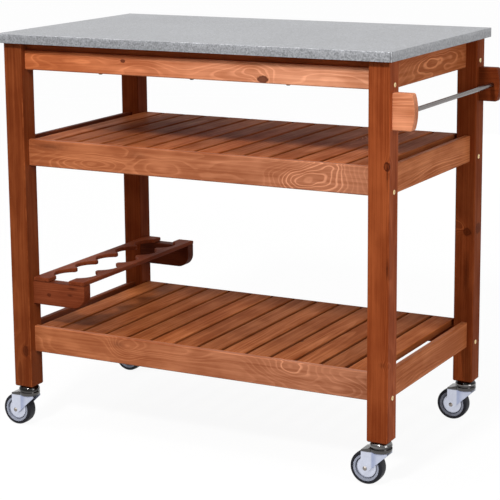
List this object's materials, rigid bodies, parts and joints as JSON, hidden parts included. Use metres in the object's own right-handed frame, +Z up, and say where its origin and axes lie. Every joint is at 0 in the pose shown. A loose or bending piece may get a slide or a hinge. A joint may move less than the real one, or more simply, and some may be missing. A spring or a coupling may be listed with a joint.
{
  "type": "barbecue side cart",
  "caption": "Wheeled outdoor side cart for a barbecue: a metal-clad worktop over slatted wooden shelves, with a bottle rack, a towel bar and swivel casters.",
  "frame": {"origin": "on the floor, under the middle of the outer box", "axes": "+Z up; +X to the right along the worktop, towards the towel bar; -Y is the long front side"},
  "size_m": [1.0474, 0.575, 0.932],
  "materials": {
    "stained_wood": "red-brown stained softwood, satin",
    "galvanised_sheet": "galvanised, spangled, dull",
    "top_board": "raw board, hidden under the sheet",
    "beech_dowel": "raw fluted dowel, hidden",
    "steel_bar": "bright drawn steel",
    "yellow_zinc": "yellow zinc plated",
    "black_screw": "black phosphated",
    "zinc_plate": "bright zinc plated pressing",
    "hub_plastic": "grey moulded plastic",
    "tyre_rubber": "black rubber"
  },
  "bodies": {
    "frame": {"post_front_left": "stained_wood", "post_front_right": "stained_wood", "post_rear_left": "stained_wood", "post_rear_right": "stained_wood", "top_rail_front": "stained_wood", "top_rail_rear": "stained_wood", "middle_rail_front": "stained_wood", "middle_rail_rear": "stained_wood", "lower_rail_front": "stained_wood", "lower_rail_rear": "stained_wood", "apron_left": "stained_wood", "apron_right": "stained_wood", "middle_rail_left": "stained_wood", "middle_rail_right": "stained_wood", "lower_rail_left": "stained_wood", "lower_rail_right": "stained_wood", "middle_slats": "stained_wood", "lower_slats": "stained_wood", "slat_cleats": "stained_wood", "top_board": "top_board", "top_battens": "stained_wood", "top_sheet": "galvanised_sheet", "rack_bracket_front": "stained_wood", "rack_bracket_rear": "stained_wood", "rack_rail_outer": "stained_wood", "rack_rail_inner": "stained_wood", "towel_bracket_front": "stained_wood", "towel_bracket_rear": "stained_wood", "towel_bar": "steel_bar", "frame_screws": "yellow_zinc", "rack_screws": "yellow_zinc", "towel_screws": "yellow_zinc", "top_screws": "black_screw", "cleat_screws": "yellow_zinc", "rail_dowels": "beech_dowel", "stem_sockets": "zinc_plate", "stem_front_left": "zinc_plate", "stem_front_right": "zinc_plate", "stem_rear_left": "zinc_plate", "stem_rear_right": "zinc_plate"},
    "swivel_front_left": {"fork_front_left": "zinc_plate", "axle_front_left": "zinc_plate"},
    "wheel_front_left": {"hub_front_left": "hub_plastic", "caps_front_left": "zinc_plate", "tyre_front_left": "tyre_rubber"},
    "swivel_front_right": {"fork_front_right": "zinc_plate", "axle_front_right": "zinc_plate"},
    "wheel_front_right": {"hub_front_right": "hub_plastic", "caps_front_right": "zinc_plate", "tyre_front_right": "tyre_rubber"},
    "swivel_rear_left": {"fork_rear_left": "zinc_plate", "axle_rear_left": "zinc_plate"},
    "wheel_rear_left": {"hub_rear_left": "hub_plastic", "caps_rear_left": "zinc_plate", "tyre_rear_left": "tyre_rubber"},
    "swivel_rear_right": {"fork_rear_right": "zinc_plate", "axle_rear_right": "zinc_plate"},
    "wheel_rear_right": {"hub_rear_right": "hub_plastic", "caps_rear_right": "zinc_plate", "tyre_rear_right": "tyre_rubber"}
  },
  "joints": [
    {"name": "front_left_swivel", "type": "hinge", "parent": "frame", "child": "swivel_front_left", "pos_m": [-0.45625, -0.2485, 0.085], "axis": [0, 0, 1], "continuous": true},
    {"name": "front_left_wheel", "type": "hinge", "parent": "swivel_front_left", "child": "wheel_front_left", "pos_m": [-0.48625, -0.2485, 0.0375], "axis": [0, 1, 0], "continuous": true},
    {"name": "front_right_swivel", "type": "hinge", "parent": "frame", "child": "swivel_front_right", "pos_m": [0.45075, -0.2485, 0.085], "axis": [0, 0, 1], "continuous": true},
    {"name": "front_right_wheel", "type": "hinge", "parent": "swivel_front_right", "child": "wheel_front_right", "pos_m": [0.42075, -0.2485, 0.0375], "axis": [0, 1, 0], "continuous": true},
    {"name": "rear_left_swivel", "type": "hinge", "parent": "frame", "child": "swivel_rear_left", "pos_m": [-0.45625, 0.2485, 0.085], "axis": [0, 0, 1], "continuous": true},
    {"name": "rear_left_wheel", "type": "hinge", "parent": "swivel_rear_left", "child": "wheel_rear_left", "pos_m": [-0.48625, 0.2485, 0.0375], "axis": [0, 1, 0], "continuous": true},
    {"name": "rear_right_swivel", "type": "hinge", "parent": "frame", "child": "swivel_rear_right", "pos_m": [0.45075, 0.2485, 0.085], "axis": [0, 0, 1], "continuous": true},
    {"name": "rear_right_wheel", "type": "hinge", "parent": "swivel_rear_right", "child": "wheel_rear_right", "pos_m": [0.42075, 0.2485, 0.0375], "axis": [0, 1, 0], "continuous": true}
  ]
}
